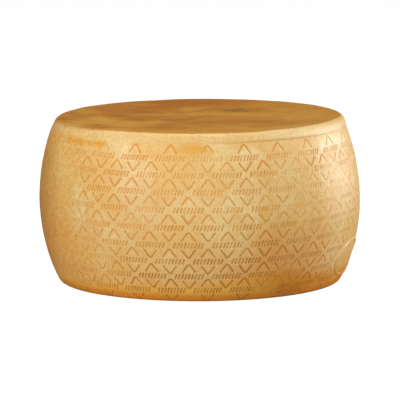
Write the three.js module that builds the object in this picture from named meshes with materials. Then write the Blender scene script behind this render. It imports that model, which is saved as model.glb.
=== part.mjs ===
// A whole wheel of aged hard cheese: one solid, a drum with a bulging heel, rounded edges and a slightly sunken top.
// Millimetres, +Z up. The origin is the centre of the flat base that the wheel rests on.
import * as THREE from "three";

// Driving dimensions.
const WIDEST_RADIUS = 210; // the heel's widest ring
const WIDEST_HEIGHT = 107; // how high that ring is above the base
const HEIGHT = 215; // from the base to the crest of the rim
const BASE_SHOULDER_RADIUS = 183; // where the heel would meet the base if that edge were sharp
const TOP_SHOULDER_RADIUS = 188; // the same at the rim
const BASE_EDGE_ROUND = 8;
const RIM_ROUND = 9;
const TOP_SINK = 5; // how far the middle of the top lies under the crest
const SINK_WIDTH = 75; // from the crest inwards to where the top is level again

// How finely the curves are cut into facets.
const FACETS_ROUND = 96;
const HEEL_STEPS = 9;
const EDGE_STEPS = 5;
const SINK_STEPS = 8;

// Each half of the heel is one arc, upright at the widest ring and passing through that half's shoulder.
function heelArc(shoulderRadius, shoulderHeight) {
  const inset = WIDEST_RADIUS - shoulderRadius;
  const rise = Math.abs(shoulderHeight - WIDEST_HEIGHT);
  const radius = (rise * rise + inset * inset) / (2 * inset);
  return { radius, centre: new THREE.Vector2(WIDEST_RADIUS - radius, WIDEST_HEIGHT) };
}

// The centre of an edge's round, which touches the heel's arc from inside and the level plane at faceHeight.
function edgeCentre(heel, round, faceHeight) {
  const height = faceHeight + Math.sign(WIDEST_HEIGHT - faceHeight) * round;
  const across = (heel.radius - round) ** 2 - (height - heel.centre.y) ** 2;
  return new THREE.Vector2(heel.centre.x + Math.sqrt(across), height);
}

// The points of one arc, from one angle to the other, both ends included.
function arcPoints(centre, radius, from, to, steps) {
  return new THREE.EllipseCurve(centre.x, centre.y, radius, radius, from, to, to < from).getPoints(steps);
}

// The top falls from the crest to the level middle along a half wave.
function sinkPoints(crestRadius) {
  return Array.from({ length: SINK_STEPS }, (_, i) => {
    const share = (i + 1) / SINK_STEPS;
    const fall = (TOP_SINK * (1 - Math.cos(Math.PI * share))) / 2;
    return new THREE.Vector2(crestRadius - SINK_WIDTH * share, HEIGHT - fall);
  });
}

// The outline from the middle of the base, round the heel, to the middle of the top.
function wheelOutline() {
  const lowerHeel = heelArc(BASE_SHOULDER_RADIUS, 0);
  const upperHeel = heelArc(TOP_SHOULDER_RADIUS, HEIGHT);
  const baseEdge = edgeCentre(lowerHeel, BASE_EDGE_ROUND, 0);
  const rimEdge = edgeCentre(upperHeel, RIM_ROUND, HEIGHT);
  const baseAngle = baseEdge.clone().sub(lowerHeel.centre).angle() - 2 * Math.PI;
  const rimAngle = rimEdge.clone().sub(upperHeel.centre).angle();
  return [
    new THREE.Vector2(0, 0),
    ...arcPoints(baseEdge, BASE_EDGE_ROUND, -Math.PI / 2, baseAngle, EDGE_STEPS),
    ...arcPoints(lowerHeel.centre, lowerHeel.radius, baseAngle, 0, HEEL_STEPS).slice(1),
    ...arcPoints(upperHeel.centre, upperHeel.radius, 0, rimAngle, HEEL_STEPS).slice(1),
    ...arcPoints(rimEdge, RIM_ROUND, rimAngle, Math.PI / 2, EDGE_STEPS).slice(1),
    ...sinkPoints(rimEdge.x),
    new THREE.Vector2(0, HEIGHT - TOP_SINK),
  ];
}

// A lathe turns about Y, so the wheel is tipped to stand on its base with +Z up.
function cheeseWheel() {
  const rind = new THREE.MeshStandardMaterial({ color: 0xdcae68, roughness: 0.55, metalness: 0 });
  const wheel = new THREE.Mesh(new THREE.LatheGeometry(wheelOutline(), FACETS_ROUND), rind);
  wheel.name = "cheese_wheel";
  wheel.rotation.x = Math.PI / 2;
  return wheel;
}

const part = new THREE.Group();
part.add(cheeseWheel());

export default part;
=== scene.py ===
"""A whole wheel of aged hard cheese: the mesh of its stamped rind, its material, and a plain pale studio.

Lengths are in metres. A place on the side is given by its bearing, the angle round from the front towards
the right, and its height. The side is first drawn flat, as round (the distance round the widest ring, from
the joint of the stamping band) and along (the distance up the outline, from the edge of the flat base).
"""

import math
from functools import cached_property

import bpy
import numpy as np
from mathutils import Euler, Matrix, Vector, kdtree, noise
from mathutils.geometry import delaunay_2d_cdt


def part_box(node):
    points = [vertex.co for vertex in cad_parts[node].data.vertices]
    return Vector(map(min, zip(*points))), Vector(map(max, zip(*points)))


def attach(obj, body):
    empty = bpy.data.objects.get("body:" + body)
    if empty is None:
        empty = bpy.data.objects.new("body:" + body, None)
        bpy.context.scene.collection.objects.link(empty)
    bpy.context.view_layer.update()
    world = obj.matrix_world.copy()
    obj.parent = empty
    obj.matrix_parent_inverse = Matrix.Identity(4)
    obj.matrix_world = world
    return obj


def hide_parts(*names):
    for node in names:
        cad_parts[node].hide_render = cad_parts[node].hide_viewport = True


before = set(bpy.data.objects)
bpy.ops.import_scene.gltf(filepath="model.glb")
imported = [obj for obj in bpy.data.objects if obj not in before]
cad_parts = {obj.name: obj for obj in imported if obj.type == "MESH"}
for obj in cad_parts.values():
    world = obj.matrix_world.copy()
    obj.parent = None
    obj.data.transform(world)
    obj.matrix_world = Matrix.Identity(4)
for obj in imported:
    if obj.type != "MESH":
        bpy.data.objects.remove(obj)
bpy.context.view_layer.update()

MM = 0.001
SEED = 11

# The wheel's own size comes from its solid.
LOW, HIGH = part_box("cheese_wheel")
RADIUS = (HIGH.x - LOW.x) / 2
HEIGHT = HIGH.z - LOW.z
MID_HEIGHT = 0.498 * HEIGHT  # where the heel is widest

# The outline.
BASE_INSET = 27 * MM  # how far the heel has drawn in where it meets the base
RIM_INSET = 22 * MM  # and where it meets the rim
BASE_ROUND = 8 * MM
RIM_ROUND = 6.5 * MM
TOP_SINK = 5 * MM
SINK_WIDTH = 75 * MM

# The stamped marks: rows of motifs, each a row of slanted bars between two chevrons.
MOTIFS_ROUND = 26
ROW_HEIGHTS = [rise * MM for rise in (186.1, 165.1, 143.9, 121.5, 98.9, 76.5, 55.1, 35.1, 15.9)]
FIRST_BEARING = math.radians(2.96)  # of the motif nearest the front in the odd rows
STEP = math.tau / MOTIFS_ROUND
JOINT_BEARING = FIRST_BEARING + 12.5 * STEP  # the stamping band's ends meet here, at the back
CHEVRON_TIP = 16.6 * MM
CHEVRON_FOOT = 6.4 * MM
CHEVRON_REACH = 8.7 * MM
CHEVRON_TIP_ROUND = 2.0 * MM
CHEVRON_TIP_TURN = math.radians(57)  # how far each way the tip curves before the straight legs
BARS = 9
BAR_PITCH = 4.5 * MM
BAR_HALF_HEIGHT = 3 * MM
BAR_SLANT = 1.1 * MM
GROOVE_DEPTH = 0.68 * MM
GROOVE_LIP = 1.15 * MM  # from a groove's middle to its lip
GROOVE_REACH = 1.8 * MM  # and to where the rind is level again
LIP_DEPTH = 0.15  # how deep the lip lies, as a share of the groove
LIP_TINT = 0.6  # how far the groove's colour has reached the lip
MARK_GAP = 4 * MM  # the marks keep this clear of the joint and the oval
BASE_GAP = 0.5 * MM  # and their grooves this clear of the flat base

# Other marks of the mould and the band.
BAND_EDGE = 204.6 * MM  # height of the band's upper edge
EDGE_TINT = 0.7  # how far the edge takes the marks' colour
BASE_LINE = 5 * MM
OVAL_BEARING = math.radians(76)
OVAL_HEIGHT = 36 * MM
OVAL_HALF_WIDTH = 50 * MM
OVAL_HALF_HEIGHT = 24 * MM
BEAD_HALF = 1.5 * MM
BEAD_PROUD = 1.4 * MM
OVAL_SUNK = 0.5 * MM
OVAL_POINTS = 84

# How finely the mesh is cut.
POINTS_ROUND = 416
SIDE_PITCH = 3.6 * MM
TOP_PITCH = 3.8 * MM
BASE_PITCH = 9 * MM
CLEARANCE = 1.7 * MM


# ---------------------------------------------------------------- outline


class Outline:
    """The wheel's outline, from the edge of the flat base up the heel and over the rim to its crest."""

    def __init__(self):
        lower = self.heel(BASE_INSET, MID_HEIGHT)
        upper = self.heel(RIM_INSET, HEIGHT - MID_HEIGHT)
        base = self.edge(lower, BASE_ROUND, BASE_ROUND)
        rim = self.edge(upper, RIM_ROUND, HEIGHT - RIM_ROUND)
        base_lean = math.atan2(base[1] - MID_HEIGHT, base[0] - lower[0])
        rim_lean = math.atan2(rim[1] - MID_HEIGHT, rim[0] - upper[0])
        arcs = [base, lower, upper, rim]
        self.leans = np.array([-math.pi / 2, base_lean, 0, rim_lean, math.pi / 2])
        self.across = np.array([arc[0] for arc in arcs])
        self.up = np.array([arc[1] for arc in arcs])
        self.reach = np.array([arc[2] for arc in arcs])
        self.ends = np.concatenate([[0], np.cumsum(np.diff(self.leans) * self.reach)])
        self.length = self.ends[-1]

    def heel(self, inset, rise):
        """Centre and radius of the arc that bulges out to the full radius from a ring set in by inset."""
        reach = (rise**2 + inset**2) / (2 * inset)
        return RADIUS - reach, MID_HEIGHT, reach

    def edge(self, heel, edge_round, height):
        """Centre and radius of the rounding that runs from a heel arc into a flat face."""
        across = math.sqrt((heel[2] - edge_round) ** 2 - (height - heel[1]) ** 2)
        return heel[0] + across, height, edge_round

    def at(self, along):
        """Distance from the axis, height and lean (the angle of the outward direction) at points along."""
        lean = np.interp(along, self.ends, self.leans)
        arc = np.clip(np.searchsorted(self.ends, along, side="right") - 1, 0, 3)
        across = self.across[arc] + self.reach[arc] * np.cos(lean)
        return across, self.up[arc] + self.reach[arc] * np.sin(lean), lean

    def along(self, height):
        """How far along the outline a height on the heel is."""
        steps = np.linspace(0, self.length, 2000)
        return float(np.interp(height, self.at(steps)[1], steps))


OUTLINE = Outline()
GIRTH = math.tau * RADIUS


def directions(bearing):
    """Level unit vectors at bearings: 0 is the front, which faces -Y, and the right is +X."""
    return np.stack([np.sin(bearing), -np.cos(bearing), np.zeros_like(bearing)], 1)


def wrap_side(flat):
    """Where points drawn flat lie on the wheel, and the outward direction there."""
    across, height, lean = OUTLINE.at(flat[:, 1])
    level = directions(JOINT_BEARING + flat[:, 0] / RADIUS)
    up = np.array([0, 0, 1])
    places = level * across[:, None] + up * height[:, None]
    return places, level * np.cos(lean)[:, None] + up * np.sin(lean)[:, None]


def flat_place(bearing, height):
    """The flat drawing's point for a bearing and a height."""
    return np.array([((bearing - JOINT_BEARING) % math.tau) * RADIUS, OUTLINE.along(height)])


def side_place(degrees, height):
    """A point on the side, for placing stains and wear."""
    return Vector(wrap_side(flat_place(math.radians(degrees), height)[None])[0][0])


# ---------------------------------------------------------------- flat drawing


class Drawing:
    """Points and lines laid out flat. Each point has its share of a groove's depth and tint, and a bead's
    height."""

    def __init__(self):
        self.points, self.lines, self.depth, self.tint, self.bead = [], [], [], [], []

    def line(self, points, depth=0.0, tint=0.0, bead=0.0, closed=False, joined=True):
        start, count = len(self.points), len(points)
        self.points += [tuple(point) for point in points]
        self.depth += [depth] * count
        self.tint += [tint] * count
        self.bead += [bead] * count
        if joined:
            self.lines += [(start + i, start + i + 1) for i in range(count - 1)]
        if closed:
            self.lines.append((start + count - 1, start))
        return list(range(start, start + count))

    def groove(self, path):
        self.line(path, depth=1.0, tint=1.0)
        self.line(round_outline(path, GROOVE_LIP), depth=LIP_DEPTH, tint=LIP_TINT, closed=True)
        self.line(round_outline(path, GROOVE_REACH), closed=True)

    def fill(self, candidates, clearance):
        """Adds the candidates that keep clear of what is drawn."""
        tree = kdtree.KDTree(len(self.points))
        for i, point in enumerate(self.points):
            tree.insert((*point, 0), i)
        tree.balance()
        clear = [point for point in candidates if tree.find((*point, 0))[2] > clearance]
        self.line(clear, joined=False)

    def triangles(self):
        drawn = [Vector(point) for point in self.points]
        made = delaunay_2d_cdt(drawn, self.lines, [], 0, 1e-7, False)
        if len(made[0]) != len(drawn):
            raise ValueError(f"lines cross: {len(drawn)} points became {len(made[0])}")
        return np.array(made[2])


def round_outline(path, reach):
    """The closed line that keeps a distance from a path, with one point beyond each of its ends."""
    path = np.asarray(path)
    run = np.gradient(path, axis=0)
    run *= reach / np.linalg.norm(run, axis=1)[:, None]
    side = run[:, ::-1] * (-1, 1)
    return np.concatenate([path + side, [path[-1] + run[-1]], (path - side)[::-1], [path[0] - run[0]]])


def chevron():
    """Half a lozenge's outline above a motif's middle, with a rounded tip."""
    centre = CHEVRON_TIP - CHEVRON_TIP_ROUND
    turns = np.linspace(-CHEVRON_TIP_TURN, CHEVRON_TIP_TURN, 5)
    tip = [(CHEVRON_TIP_ROUND * math.sin(a), centre + CHEVRON_TIP_ROUND * math.cos(a)) for a in turns]
    foot = np.array([CHEVRON_REACH, CHEVRON_FOOT])
    leg = [foot + (np.array(tip[-1]) - foot) * share for share in (2 / 3, 1 / 3, 0)]
    return np.array([(-x, y) for x, y in leg[::-1]] + tip + [tuple(p) for p in leg])


def motif():
    """The paths of one motif's grooves about its middle: two chevrons and the slanted bars between them."""
    over = chevron()
    paths = [over, over * (1, -1)]
    for i in range(BARS):
        middle = (i - (BARS - 1) / 2) * BAR_PITCH
        foot, head = (middle - BAR_SLANT, -BAR_HALF_HEIGHT), (middle + BAR_SLANT, BAR_HALF_HEIGHT)
        paths.append(np.array([foot, head]))
    return paths


def ring(centre, half_width, half_height, count):
    turns = np.linspace(0, math.tau, count, endpoint=False)
    return centre + np.stack([half_width * np.cos(turns), half_height * np.sin(turns)], 1)


def in_oval(points, centre, margin):
    away = (points - centre) / (OVAL_HALF_WIDTH + margin, OVAL_HALF_HEIGHT + margin)
    return (away**2).sum(1) < 1


def draw_oval(drawing, centre):
    """A blank oval stamp: a raised bead round a slightly sunk field."""
    steps = [(-BEAD_HALF, 0), (0, BEAD_PROUD), (BEAD_HALF, -OVAL_SUNK / 2), (2 * BEAD_HALF, -OVAL_SUNK)]
    for inset, bead in steps:
        outline = ring(centre, OVAL_HALF_WIDTH - inset, OVAL_HALF_HEIGHT - inset, OVAL_POINTS)
        drawing.line(outline, bead=bead, closed=True)


def draw_motifs(drawing, oval_centre):
    paths = motif()
    for row, height in enumerate(ROW_HEIGHTS):
        for i in range(MOTIFS_ROUND):
            bearing = FIRST_BEARING + (i + row % 2 / 2) * STEP
            middle = flat_place(bearing, height)
            for path in paths:
                placed = path + middle
                by_joint = placed[:, 0].min() < MARK_GAP or placed[:, 0].max() > GIRTH - MARK_GAP
                in_base = placed[:, 1].min() < GROOVE_REACH + BASE_GAP
                if not (by_joint or in_base or in_oval(placed, oval_centre, MARK_GAP).any()):
                    drawing.groove(placed)


def hex_grid(width, height, pitch, jitter):
    """Points spread evenly over a rectangle from its corner, each moved a little at random."""
    random = np.random.default_rng(SEED)
    rows = np.arange(0, height, pitch * math.sqrt(3) / 2)
    columns = np.arange(0, width, pitch)
    grid = np.array([(x + (row % 2) * pitch / 2, y) for row, y in enumerate(rows) for x in columns])
    return grid + random.uniform(-jitter, jitter, grid.shape)


def level_rows(heights_along):
    """Rows of points round the side at given distances along the outline."""
    rounds = (np.arange(1, POINTS_ROUND) / POINTS_ROUND) * GIRTH
    rows = []
    for i, along in enumerate(heights_along):
        rows += [(x + (i % 2) * 0.5 * GIRTH / POINTS_ROUND, along) for x in rounds]
    return rows


def draw_side():
    """The flat drawing of the whole side. Returns it with its lower and upper edges and its two ends."""
    drawing = Drawing()
    length = OUTLINE.length
    rounds = np.linspace(0, GIRTH, POINTS_ROUND + 1)
    lower = drawing.line([(x, 0) for x in rounds])
    upper = drawing.line([(x, length) for x in rounds])
    steps = np.linspace(0, length, round(length / (3 * MM)) + 1)[1:-1]
    left = drawing.line([(0, y) for y in steps], joined=False)
    right = drawing.line([(GIRTH, y) for y in steps], joined=False)
    oval_centre = flat_place(OVAL_BEARING, OVAL_HEIGHT)
    draw_oval(drawing, oval_centre)
    draw_motifs(drawing, oval_centre)
    edge, line = OUTLINE.along(BAND_EDGE), OUTLINE.along(BASE_LINE)
    rim_start = OUTLINE.ends[3]
    rows = [line - 1 * MM, line, line + 1 * MM]
    rows += [edge + step * MM for step in (-2.2, -1.2, -0.5, 0.2, 1.0)]
    rows += list(np.linspace(rim_start, length, 6)[:-1])
    drawing.fill(level_rows(rows), 0.7 * MM)
    joint = [(x, y) for x in (1.5 * MM, GIRTH - 1.5 * MM) for y in steps]
    drawing.fill(joint, 0.9 * MM)
    grid = hex_grid(GIRTH, length, SIDE_PITCH, 0.5 * MM)
    inside = (grid[:, 0] > MM) & (grid[:, 0] < GIRTH - MM) & (grid[:, 1] > MM) & (grid[:, 1] < length - MM)
    drawing.fill(grid[inside], CLEARANCE)
    return drawing, lower, upper, left, right


def fill_disc(edge, pitch):
    """Triangles over the disc inside a ring of points, and the new points that they need."""
    reach = np.linalg.norm(edge, axis=1).min()
    drawing = Drawing()
    drawing.line(edge, closed=True)
    grid = hex_grid(2 * reach, 2 * reach, pitch, pitch / 6) - reach
    drawing.fill(grid[np.linalg.norm(grid, axis=1) < reach - 0.5 * pitch], 0.5 * pitch)
    return np.array(drawing.points)[len(edge) :], drawing.triangles()


# ---------------------------------------------------------------- relief


def lumps(places, pitch, shift):
    """A smooth random value, about -1 to 1, at each place; its lumps are about pitch across."""
    return np.array([noise.noise(Vector(place) / pitch + Vector((shift, shift, shift))) for place in places])


def blots(places, spots):
    """The sum of soft round spots at each place. A spot is its middle, its reach and its strength."""
    total = np.zeros(len(places))
    for middle, reach, strength in spots:
        away = np.linalg.norm(places - np.array(middle), axis=1) / reach
        total += strength * np.exp(-(away**2))
    return total


def stamp_strength(places):
    """How well the marks have kept: patchy, deepest at the front left, and worn at both sides."""
    spots = [
        (side_place(-34, 160 * MM), 48 * MM, 0.5),
        (side_place(19, 186 * MM), 34 * MM, 0.6),
        (side_place(48, 188 * MM), 20 * MM, 0.35),
        (side_place(65, 186 * MM), 28 * MM, 0.55),
        (side_place(-72, 120 * MM), 85 * MM, -0.55),
        (side_place(55, 130 * MM), 42 * MM, -0.40),
        (side_place(0, 60 * MM), 90 * MM, 0.15),
        (side_place(-20, 14 * MM), 100 * MM, 0.15),
    ]
    patchy = 0.62 + 0.30 * lumps(places, 45 * MM, 3) + 0.22 * lumps(places, 14 * MM, 8)
    return np.clip(patchy + blots(places, spots), 0.12, 1.15)


def crispness(flat):
    """How clear the band's edge is: clear on the right and nearly gone on the left."""
    return np.clip(0.55 + 0.6 * np.sin(JOINT_BEARING + flat[:, 0] / RADIUS), 0.1, 1)


def side_relief(flat, depth, bead):
    """How far each point of the side stands out from the smooth outline."""
    round_, along = flat[:, 0], flat[:, 1]
    below_edge = OUTLINE.along(BAND_EDGE) - along
    crisp = crispness(flat)
    edge_deep, edge_low, edge_width = 0.32 * MM, 0.5 * MM, 0.6 * MM
    step_deep, step_reach = 0.8 * MM, 9 * MM
    line_deep, line_width = 0.4 * MM, 0.8 * MM
    joint_proud, joint_width, joint_fade = 0.5 * MM, 1.3 * MM, 2 * MM
    groove = -edge_deep * np.exp(-(((below_edge - edge_low) / edge_width) ** 2))
    step = np.where(below_edge > 0, -step_deep * np.exp(-below_edge / step_reach), 0)
    base_line = -line_deep * np.exp(-(((along - OUTLINE.along(BASE_LINE)) / line_width) ** 2))
    from_joint = np.minimum(round_, GIRTH - round_)
    band = np.clip((below_edge + joint_fade) / joint_fade, 0, 1)
    joint = joint_proud * np.exp(-((from_joint / joint_width) ** 2)) * band
    return bead - GROOVE_DEPTH * depth + crisp * (groove + step) + base_line * crisp + joint


def unevenness(places):
    """A real wheel is never quite true: slow swells, and small lumps on them."""
    slow = 0.9 * MM * lumps(places, 120 * MM, 21)
    middling = 0.32 * MM * lumps(places, 34 * MM, 34)
    return slow + middling + 0.12 * MM * lumps(places, 9 * MM, 47)


def settle(places):
    """The rim stands a little proud, most at the front, and its corner is worn round on the left."""
    proud, forward, right = 0.8 * MM, 1.3 * MM, 0.8 * MM
    worn, soft, worn_lean = 1.6 * MM, 9 * MM, math.radians(50)
    share = np.clip((places[:, 2] / HEIGHT - 0.9) / 0.1, 0, 1)
    across = np.hypot(places[:, 0], places[:, 1])
    corner_across, corner_up, _ = OUTLINE.at(np.array([(OUTLINE.ends[3] + OUTLINE.length) / 2]))
    away = np.hypot(across - corner_across, places[:, 2] - corner_up) / soft
    drop = worn * np.clip(-places[:, 0] / RADIUS, 0, 1) ** 2 * np.exp(-(away**2))
    level = places[:, :2] / np.maximum(across, MM)[:, None]
    moved = places.copy()
    moved[:, :2] -= level * (drop * math.cos(worn_lean))[:, None]
    tilt = (right * places[:, 0] - forward * places[:, 1]) / RADIUS
    moved[:, 2] += share * (proud + tilt) - drop * math.sin(worn_lean)
    return moved


# ---------------------------------------------------------------- mesh

LAYOUT = 0.80  # the side of the square that the surface is laid out in for its texture map
LAYOUT_GAP = 8 * MM
SIDE_STRIPS = 3


def lay_out_side(flat, triangles):
    """Texture places for the side's triangle corners: three strips, one above the other."""
    strip_width = GIRTH / SIDE_STRIPS
    middles = flat[triangles][:, :, 0].mean(1)
    strip = np.minimum((middles / strip_width).astype(int), SIDE_STRIPS - 1)
    corners = flat[triangles].copy()
    corners[:, :, 0] -= (strip * strip_width)[:, None]
    corners[:, :, 1] += (strip * (OUTLINE.length + LAYOUT_GAP))[:, None]
    return (corners + LAYOUT_GAP / 2) / LAYOUT


def lay_out_disc(places, triangles, slot):
    """Texture places for a disc's triangle corners, beside the strips."""
    left = GIRTH / SIDE_STRIPS + 2 * LAYOUT_GAP
    across = LAYOUT - left - LAYOUT_GAP / 2
    reach = np.linalg.norm(places[triangles][:, :, :2], axis=2).max()
    corners = places[triangles][:, :, :2] / (2 * reach) * across
    middle = np.array([left + across / 2, LAYOUT_GAP / 2 + across / 2 + slot * (across + LAYOUT_GAP)])
    return (corners + middle) / LAYOUT


def build_wheel():
    drawing, lower, upper, left, right = draw_side()
    side_triangles = drawing.triangles()
    flat = np.array(drawing.points)
    places, outward = wrap_side(flat)
    strength = stamp_strength(places)
    depth, tint = np.array(drawing.depth) * strength, np.array(drawing.tint) * strength
    from_edge = (flat[:, 1] - OUTLINE.along(BAND_EDGE - 0.4 * MM)) / (0.7 * MM)
    tint = np.maximum(tint, EDGE_TINT * crispness(flat) * np.exp(-(from_edge**2)))

    settled = np.clip(flat[:, 1] / (14 * MM), 0, 1)
    relief = side_relief(flat, depth, np.array(drawing.bead)) * np.clip(flat[:, 1] / (2 * MM), 0, 1)
    side = places + outward * (relief + settled * unevenness(places))[:, None]
    inward = flat[:, 1] - OUTLINE.length

    top_ring, base_ring = places[upper[:-1]], places[lower[:-1]]
    top_new, top_triangles = fill_disc(top_ring[:, :2], TOP_PITCH)
    base_new, base_triangles = fill_disc(base_ring[:, :2], BASE_PITCH)
    from_rim = np.linalg.norm(top_ring[0, :2]) - np.linalg.norm(top_new, axis=1)
    fall = (1 - np.cos(np.pi * np.clip(from_rim / SINK_WIDTH, 0, 1))) / 2
    top = np.column_stack([top_new, HEIGHT - TOP_SINK * fall])
    top[:, 2] += unevenness(top)
    base = np.column_stack([base_new, np.zeros(len(base_new))])

    # The side's two ends are the same line, so its right-hand points give way to the left-hand ones.
    same = np.arange(len(flat))
    same[right] = left
    same[lower[-1]], same[upper[-1]] = lower[0], upper[0]
    top_index = np.concatenate([np.array(upper[:-1]), len(side) + np.arange(len(top))])
    base_index = np.concatenate([np.array(lower[:-1]), len(side) + len(top) + np.arange(len(base))])
    points = np.concatenate([side, top, base])
    faces = [same[side_triangles], top_index[top_triangles], base_index[base_triangles][:, ::-1]]
    faces = np.concatenate(faces)
    corners = np.concatenate([
        lay_out_side(flat, side_triangles),
        lay_out_disc(np.concatenate([top_ring, top]), top_triangles, 1),
        lay_out_disc(np.concatenate([base_ring, base]), base_triangles, 0),
    ])
    tints = np.concatenate([tint, np.zeros(len(top) + len(base))])
    inwards = np.concatenate([inward, from_rim, -OUTLINE.length * np.ones(len(base))])
    used, faces = np.unique(faces, return_inverse=True)
    values = {"tint": tints[used], "inward": inwards[used]}
    return make_mesh(settle(points[used]), faces.reshape(-1, 3), corners, values)


def make_mesh(points, faces, corners, values):
    mesh = bpy.data.meshes.new("cheese_wheel_rind")
    mesh.from_pydata(points.tolist(), [], faces.tolist())
    mesh.uv_layers.new(name="OFBake").data.foreach_set("uv", corners.astype(np.float32).ravel())
    for name, value in values.items():
        mesh.attributes.new(name, "FLOAT", "POINT").data.foreach_set("value", value.astype(np.float32))
    mesh.shade_smooth()
    mesh.update()
    wheel = bpy.data.objects.new("cheese_wheel_rind", mesh)
    bpy.context.scene.collection.objects.link(wheel)
    return wheel


# ---------------------------------------------------------------- shader writing


class Value:
    """A socket that gives a value or a colour. The operators add the Math nodes that they stand for."""

    def __init__(self, shader, socket):
        self.shader, self.socket = shader, socket

    def math(self, operation, first, second):
        node = self.shader.node("Math", {"operation": operation}, {0: first, 1: second})
        return Value(self.shader, node.outputs[0])

    def __add__(self, other):
        return self.math("ADD", self, other)

    def __sub__(self, other):
        return self.math("SUBTRACT", self, other)

    def __rsub__(self, other):
        return self.math("SUBTRACT", other, self)

    def __mul__(self, other):
        return self.math("MULTIPLY", self, other)

    def at_most(self, other):
        return self.math("MINIMUM", self, other)

    __radd__ = __add__


def tone(code):
    """A linear colour from a six-figure hex code."""
    shares = [int(code[i : i + 2], 16) / 255 for i in (0, 2, 4)]
    return (*[s / 12.92 if s <= 0.04045 else ((s + 0.055) / 1.055) ** 2.4 for s in shares], 1)


class Shader:
    """One material, or the world, and the nodes laid out in it."""

    def __init__(self, owner):
        self.owner = owner
        owner.use_nodes = True
        self.tree = owner.node_tree
        self.tree.nodes.clear()

    @cached_property
    def place(self):
        """The place on the object."""
        return self.out(self.node("TexCoord"), "Object")

    def node(self, kind, settings=None, inputs=None):
        """Adds a node: its type, its settings, then the values or links of its sockets."""
        made = self.tree.nodes.new("ShaderNode" + kind)
        for name, value in (settings or {}).items():
            setattr(made, name, value)
        for name, value in (inputs or {}).items():
            socket = self.socket(made.inputs, name)
            if isinstance(value, Value):
                self.tree.links.new(value.socket, socket)
            else:
                socket.default_value = value
        return made

    def socket(self, sockets, name):
        """A socket by its number, or by its name or identifier."""
        if isinstance(name, int):
            return sockets[name]
        return next(s for s in sockets if name in (s.identifier, s.name))

    def out(self, node, name=0):
        return Value(self, self.socket(node.outputs, name))

    def attribute(self, name):
        return self.out(self.node("Attribute", {"attribute_name": name}), "Fac")

    def split(self, vector):
        node = self.node("SeparateXYZ", inputs={0: vector})
        return [self.out(node, axis) for axis in "XYZ"]

    def stretched(self, factors):
        """The place on the object with its axes scaled, for streaks."""
        node = self.node("VectorMath", {"operation": "MULTIPLY"}, {0: self.place, 1: factors})
        return self.out(node)

    def cloud(self, pitch, detail=3.0, roughness=0.5, place=None, distortion=0.0):
        """Soft noise from 0 to 1 with features about pitch across."""
        inputs = {"Vector": place or self.place, "Scale": 1 / pitch, "Detail": detail}
        inputs.update({"Roughness": roughness, "Distortion": distortion})
        return self.out(self.node("TexNoise", inputs=inputs), "Fac")

    def fade(self, value, start, end):
        """0 before start and 1 after end, with a smooth rise between them."""
        inputs = {"Value": value, "From Min": start, "From Max": end}
        return self.out(self.node("MapRange", {"interpolation_type": "SMOOTHSTEP"}, inputs))

    def spot(self, middle, reach, ragged=None):
        """1 at a place, falling to 0 at its reach along each axis. Ragged is noise that roughens its edge."""
        away = self.node("VectorMath", {"operation": "SUBTRACT"}, {0: self.place, 1: tuple(middle)})
        scaled = self.node("VectorMath", {"operation": "DIVIDE"}, {0: self.out(away), 1: reach})
        distance = self.out(self.node("VectorMath", {"operation": "LENGTH"}, {0: self.out(scaled)}), "Value")
        if ragged is not None:
            distance = distance + (ragged - 0.5) * 0.8
        return self.fade(distance, 1.0, 0.25)

    def blend(self, share, first, second, mode="MIX"):
        settings = {"data_type": "RGBA", "blend_type": mode}
        node = self.node("Mix", settings, {"Factor_Float": share, "A_Color": first, "B_Color": second})
        return self.out(node, "Result_Color")

    def dab(self, colour, laid, spots, ragged):
        """The colour with soft spots of another laid on it. A spot is its middle, reach and strength."""
        for middle, reach, strength in spots:
            colour = self.blend(self.spot(middle, reach, ragged) * strength, colour, laid)
        return colour

    def bump(self, height, distance):
        return self.out(self.node("Bump", inputs={"Strength": 1.0, "Distance": distance, "Height": height}))

    def finish(self, surface, output="OutputMaterial"):
        self.node(output, inputs={"Surface": self.out(surface)})
        return self.owner


# ---------------------------------------------------------------- rind

PALE_CREAM = tone("f6e4b2")
CREAM = tone("ebcc8a")
HONEY = tone("e6b768")
OCHRE = tone("e19e4a")
EDGE_OCHRE = tone("cf8f3a")
GOLD = tone("d8ac5a")
AMBER = tone("e5a238")
BASE_AMBER = tone("e7aa42")
BASE_DEEP = tone("d98a18")
SOLE = tone("d8800c")
DEEP_ORANGE = tone("c26a14")
RIM_CREAM = tone("e5bc76")
CRUST = tone("ca8a2c")
CRUST_DARK = tone("b26a18")
CRUST_PALE = tone("dba44a")
PALE_WEAR_AND_SHEEN = tone("d6a450")
SCUFF = tone("86603a")
CRUST_DEPTH = (0.85, 0.81, 0.46, 1)  # the top's tones are multiplied by this
GRAIN_DEEP = (0.79, 0.68, 0.40, 1)  # the rind's tone is multiplied by these between its finest specks
GRAIN_PALE = (1.21, 1.32, 1.60, 1)
MARK_ORANGE = tone("d88a14")
MARK_UMBER = tone("a8640f")
MARK_GOLD = tone("c88a28")
TOP_SPOT_RISE = 60 * MM  # upright reach of the top's spots, which spans all of its sink
ROUGHNESS = 0.46
GRAIN_RELIEF = 0.5 * MM
SHEEN = 0.1  # weight of the side's waxy coat, which the top lacks
TOP_DRYNESS = 0.3  # how much rougher than the side the top is


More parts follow.
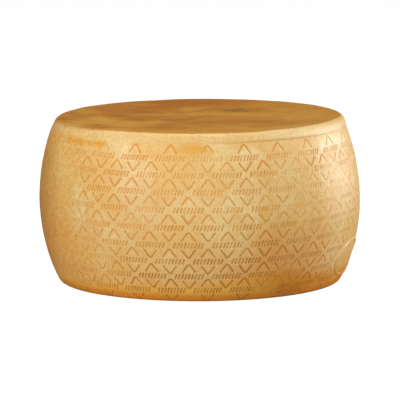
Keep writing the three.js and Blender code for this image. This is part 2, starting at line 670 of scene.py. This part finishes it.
def side_colour(shader, side, height, blotch, mottle):
    """Honey-coloured rind, creamier and darker in patches, and orange at the foot."""
    warm = shader.blend(shader.fade(blotch, 0.38, 0.66), HONEY, CREAM)
    patched = shader.blend(shader.fade(mottle, 0.50, 0.78) * 0.35, warm, OCHRE)
    under_rim = shader.fade(height, BAND_EDGE - 3 * MM, BAND_EDGE + 4 * MM)
    # The rim band pales towards the right: partly the rim's cream tone, partly a painted highlight of the
    # right-hand lights.
    rim_tone_and_highlight = shader.blend(shader.fade(side, 40 * MM, 150 * MM) * 0.5, RIM_CREAM, PALE_CREAM)
    banded = shader.blend(under_rim * 0.7, patched, rim_tone_and_highlight)
    right_edge = shader.fade(side, 120 * MM, 205 * MM)
    golden = shader.blend(right_edge * 0.45, banded, GOLD)

    rightward = shader.fade(side, -50 * MM, 110 * MM) * (1.0 - shader.fade(side, 90 * MM, 180 * MM) * 0.75)
    drift = (blotch - 0.5) * 26 * MM
    low = shader.fade(height + drift - rightward * 42 * MM, 76 * MM, 5 * MM)
    aged = shader.blend(low * (rightward * 0.5 + 0.45), golden, OCHRE)
    left_low = shader.fade(side, -110 * MM, -200 * MM) * shader.fade(height + drift, 150 * MM, 70 * MM)
    lowered = shader.blend(left_low * 0.75, aged, OCHRE)
    edged = shader.blend(shader.fade(side, -172 * MM, -209 * MM) * 0.9, lowered, EDGE_OCHRE)

    foot = shader.fade(height + (mottle - 0.5) * 7 * MM - rightward * 17 * MM, 27 * MM, 13 * MM)
    foot_tone = shader.blend(shader.fade(side, 20 * MM, 130 * MM), BASE_AMBER, BASE_DEEP)
    footed = shader.blend(foot * 0.9, edged, foot_tone)
    sole = shader.fade(height, 15 * MM, 5 * MM)
    return shader.blend(sole * 0.9, footed, SOLE)


def side_spots(*spots):
    """Spots on the side, each from its bearing in degrees, then in millimetres its height and its reach
    along X, Y and Z, then its strength."""
    return [
        (side_place(bearing, height * MM), (wide * MM, deep * MM, tall * MM), strength)
        for bearing, height, wide, deep, tall, strength in spots
    ]


def top_spots(*spots):
    """Spots on the top, each from its X and Y and its reach along them in millimetres, then its strength."""
    return [
        ((x * MM, y * MM, HEIGHT), (wide * MM, deep * MM, TOP_SPOT_RISE), strength)
        for x, y, wide, deep, strength in spots
    ]


def stained(shader, colour, mottle):
    """Orange stains, the longest under the rim at the left, with browner patches, one partly painted shade,
    pale rubbed ones, one of them a painted highlight, and a deep orange spot, partly painted warm bounce
    light.
    """
    stains = side_spots(
        (-58, 198, 24, 24, 6.5, 0.8),
        (-50, 198.5, 24, 24, 6, 0.7),
        (-42, 198.5, 20, 20, 7, 0.85),
        (-19, 190, 26, 26, 8, 0.35),
        (-2, 197, 34, 20, 11, 0.75),
        (23, 117, 12, 14, 11, 0.5),
        (68, 20, 30, 30, 14, 0.6),
    )
    # Browner patches: the third, low at the right, is partly an ochre patch and partly painted shade where
    # the light falls off.
    browned_and_shaded = side_spots(
        (-22, 125, 42, 42, 95, 0.3),
        (-41, 88, 34, 34, 34, 0.4),
        (46, 72, 52, 52, 48, 0.5),
        (2, 62, 42, 42, 28, 0.4),
        (-72, 196, 26, 26, 13, 0.6),
    )
    # Pale patches: the first, under the rim at the right, is a painted highlight, and the others are rubbed
    # places.
    rubbed_and_highlight = side_spots(
        (63, 194, 66, 66, 15, 0.5),
        (58, 54, 38, 38, 26, 0.15),
        (19, 190, 28, 28, 11, 0.3),
        (17, 140, 34, 34, 46, 0.12),
    )
    # A deep orange spot low at the right, partly stain and partly painted warm bounce light.
    deep = side_spots((36, 10, 32, 32, 14, 0.55))
    for laid, spots in ((AMBER, stains), (OCHRE, browned_and_shaded), (PALE_CREAM, rubbed_and_highlight), (DEEP_ORANGE, deep)):
        colour = shader.dab(colour, laid, spots, mottle)
    return colour


def crust_colour(shader, side, back, blotch, mottle):
    """The dry brown top: soft streaks, darker patches, pale spots that are partly wear and partly painted
    sheen, and one grey scuff.
    """
    streak = shader.cloud(52 * MM, 5, 0.62, shader.stretched((0.6, 1.2, 1)), 0.8)
    brown = shader.blend(shader.fade(streak, 0.34, 0.62), CRUST_DARK, CRUST)
    paler = shader.blend(shader.fade(blotch, 0.46, 0.72) * 0.8, brown, CRUST_PALE)
    flecked = shader.blend(shader.fade(mottle, 0.54, 0.75) * 0.35, paler, CRUST_DARK)
    near = shader.blend(shader.fade(back, -95 * MM, -180 * MM) * 0.75, flecked, CRUST_PALE)
    lighter = shader.blend(shader.fade(side, -60 * MM, 120 * MM) * 0.25, near, CRUST_PALE)
    colour = shader.blend(shader.fade(back, 110 * MM, 190 * MM) * 0.6, lighter, CRUST_DARK)
    darkened = top_spots(
        (-105, 88, 75, 50, 0.55),
        (20, 152, 85, 42, 0.55),
        (60, -24, 95, 34, 0.6),
    )
    # Pale spots, partly wear and partly painted sheen: the four at the left follow the inner slope of the
    # sink, and the three at the right stand for the sheen there.
    worn = top_spots(
        (-148, 60, 26, 60, 0.35),
        (-126, -5, 24, 62, 0.75),
        (-162, -86, 34, 60, 0.8),
        (-92, -62, 46, 26, 0.75),
        (6, 60, 50, 24, 0.6),
        (138, 20, 60, 90, 0.5),
        (105, -105, 70, 45, 0.55),
    )
    colour = shader.dab(shader.dab(colour, CRUST_DARK, darkened, mottle), PALE_WEAR_AND_SHEEN, worn, mottle)
    scuff = shader.spot((50 * MM, 95 * MM, HEIGHT), (42 * MM, 26 * MM, TOP_SPOT_RISE), mottle)
    scratches = shader.cloud(8 * MM, 4, 0.7, shader.stretched((0.7, 0.55, 1)), 1.0)
    scuffed = shader.blend(scuff * (shader.fade(scratches, 0.42, 0.54) * 0.75 + 0.1), colour, SCUFF)
    return shader.blend(1.0, scuffed, CRUST_DEPTH, "MULTIPLY")


def mark_colour(shader, height, side):
    """The marks have gone orange at the upper left, golden at the right and brown lower down."""
    golden = shader.blend(shader.fade(side, 70 * MM, 150 * MM), MARK_ORANGE, MARK_GOLD)
    umber = shader.fade(height - side.at_most(0.0) * 0.35, 130 * MM, 40 * MM)
    return shader.blend(umber, golden, MARK_UMBER)


def rind():
    shader = Shader(bpy.data.materials.new("aged_rind"))
    side, back, height = shader.split(shader.place)
    tint, inward = shader.attribute("tint"), shader.attribute("inward")
    blotch = shader.cloud(70 * MM, 3, 0.55)
    mottle = shader.cloud(16 * MM, 4, 0.6)
    grain = shader.cloud(2.6 * MM, 3, 0.7)
    fine = shader.cloud(0.9 * MM, 2, 0.5)
    speck = shader.cloud(6 * MM, 3, 0.6)

    colour = stained(shader, side_colour(shader, side, height, blotch, mottle), mottle)
    marked = shader.fade(tint, 0.05, 0.8)
    colour = shader.blend(marked * 0.75, colour, mark_colour(shader, height, side))
    soft = shader.fade(side, -100 * MM, -185 * MM)
    ragged = (mottle - 0.5) * (soft * 9 * MM + 3 * MM)
    bare = shader.fade(side, 60 * MM, 165 * MM) * shader.fade(back, 15 * MM, -70 * MM) * 7 * MM
    on_top = shader.fade(inward + ragged, bare + soft * -9 * MM - 3.2 * MM, bare - 1.2 * MM)
    colour = shader.blend(on_top, colour, crust_colour(shader, side, back, blotch, mottle))
    dusty = shader.fade(side, -110 * MM, -195 * MM)
    grained = (grain - 0.5) * (dusty * 0.6 + 1.0) + (speck - 0.5) * (dusty * 0.8 + 0.35) + 0.5
    grain_tone = shader.blend(grained, GRAIN_DEEP, GRAIN_PALE)
    colour = shader.blend(1.0, colour, grain_tone, "MULTIPLY")

    roughness = ROUGHNESS + (mottle - 0.5) * 0.25 + marked * 0.12 + on_top * TOP_DRYNESS
    relief = grain * 0.8 + fine * 0.3 + mottle * 0.8
    surface = shader.node("BsdfPrincipled", inputs={
        "Base Color": colour,
        "Roughness": roughness,
        "IOR": 1.45,
        "Coat Weight": SHEEN - on_top * SHEEN,
        "Coat Roughness": 0.3,
        "Normal": shader.bump(relief, GRAIN_RELIEF),
    })
    return shader.finish(surface)


# ---------------------------------------------------------------- studio

EYE_ELEVATION = math.radians(8.49)
EYE_DISTANCE = 5.9
EYE_ROLL = math.radians(-0.17)
EYE_TARGET = Vector((0.3 * MM, 0, 104.1 * MM))
LENS = 405.0
FLOOR_REACH = 40.0
FLOOR_GREY = 0.12
FLOOR_GLOW = 0.97
WORLD_GLOW = 0.06
LIGHT_DISTANCE = 2.5
SOFTBOX_SIZE = 1.0
BOUNCE_POWER = 3.3
BOUNCE_WIDTH, BOUNCE_DEPTH = 2.0, 1.6
BOUNCE_PLACE = Vector((0, -0.2, 0.6 * MM))
SOFTBOXES = [  # name, bearing and elevation in degrees, power
    ("front_left", -45, 15, 33),
    ("front_fill", 0, 5, 15),
    ("right_high", 60, 30, 19),
    ("right_side", 105, 9, 24),
    ("right_back", 122, 6, 19),
    ("left_back", -120, 40, 7),
    ("overhead", 0, 89, 31),
]


def floor_material():
    """A pale floor that stays white away from the lights, and still takes a soft shadow."""
    shader = Shader(bpy.data.materials.new("pale_floor"))
    diffuse = shader.node("BsdfDiffuse", inputs={"Color": (FLOOR_GREY, FLOOR_GREY, FLOOR_GREY, 1)})
    glow = shader.node("Emission", inputs={"Color": (1, 1, 1, 1), "Strength": FLOOR_GLOW})
    return shader.finish(shader.node("AddShader", inputs={0: shader.out(diffuse), 1: shader.out(glow)}))


def build_floor():
    reach = FLOOR_REACH
    mesh = bpy.data.meshes.new("studio_floor")
    corners = [(-reach, -reach, 0), (reach, -reach, 0), (reach, reach, 0), (-reach, reach, 0)]
    mesh.from_pydata(corners, [], [(0, 1, 2, 3)])
    mesh.materials.append(floor_material())
    floor = bpy.data.objects.new("studio_floor", mesh)
    bpy.context.scene.collection.objects.link(floor)
    floor.visible_diffuse = floor.visible_glossy = False  # so that its glow doesn't light the wheel


def area_light(name, power, width, depth, place, target):
    """A rectangular light at a place, aimed at a target. The camera doesn't see it."""
    light = bpy.data.lights.new(name, "AREA")
    light.shape, light.size, light.size_y, light.energy = "RECTANGLE", width, depth, power
    lamp = bpy.data.objects.new(name, light)
    lamp.location = place
    lamp.rotation_euler = (target - place).to_track_quat("-Z", "Y").to_euler()
    lamp.visible_camera = False
    bpy.context.scene.collection.objects.link(lamp)
    return lamp


def softbox(name, bearing, elevation, power):
    """A square light aimed at the wheel's middle. Bearing 0 is the front and 90 the right."""
    middle = Vector((0, 0, HEIGHT / 2))
    across, turn = LIGHT_DISTANCE * math.cos(math.radians(elevation)), math.radians(bearing)
    rise = LIGHT_DISTANCE * math.sin(math.radians(elevation))
    place = middle + Vector((across * math.sin(turn), -across * math.cos(turn), rise))
    area_light(name, power, SOFTBOX_SIZE, SOFTBOX_SIZE, place, middle)


def build_lights():
    for settings in SOFTBOXES:
        softbox(*settings)
    above = BOUNCE_PLACE + Vector((0, 0, 1))
    bounce = area_light("floor_bounce", BOUNCE_POWER, BOUNCE_WIDTH, BOUNCE_DEPTH, BOUNCE_PLACE, above)
    bounce.visible_glossy = False


def build_world():
    """A little even light from all round; the camera sees it as plain white."""
    shader = Shader(bpy.data.worlds.new("studio"))
    dim = shader.node("Background", inputs={"Strength": WORLD_GLOW})
    white = shader.node("Background", inputs={"Color": (1, 1, 1, 1)})
    seen = shader.out(shader.node("LightPath"), "Is Camera Ray")
    chosen = shader.node("MixShader", inputs={0: seen, 1: shader.out(dim), 2: shader.out(white)})
    bpy.context.scene.world = shader.finish(chosen, "OutputWorld")


def build_camera():
    camera = bpy.data.objects.new("camera", bpy.data.cameras.new("camera"))
    camera.data.lens = LENS
    back = Vector((0, -math.cos(EYE_ELEVATION), math.sin(EYE_ELEVATION)))
    camera.location = EYE_TARGET + back * EYE_DISTANCE
    facing = (-back).to_track_quat("-Z", "Y")
    camera.rotation_euler = (facing @ Euler((0, 0, EYE_ROLL)).to_quaternion()).to_euler()
    bpy.context.scene.collection.objects.link(camera)
    bpy.context.scene.camera = camera


# ---------------------------------------------------------------- scene

build_camera()
build_world()
build_lights()
build_floor()

wheel = build_wheel()
wheel.data.materials.append(rind())
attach(wheel, "root")
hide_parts("cheese_wheel")

scene = bpy.context.scene
scene.view_settings.view_transform = "Standard"
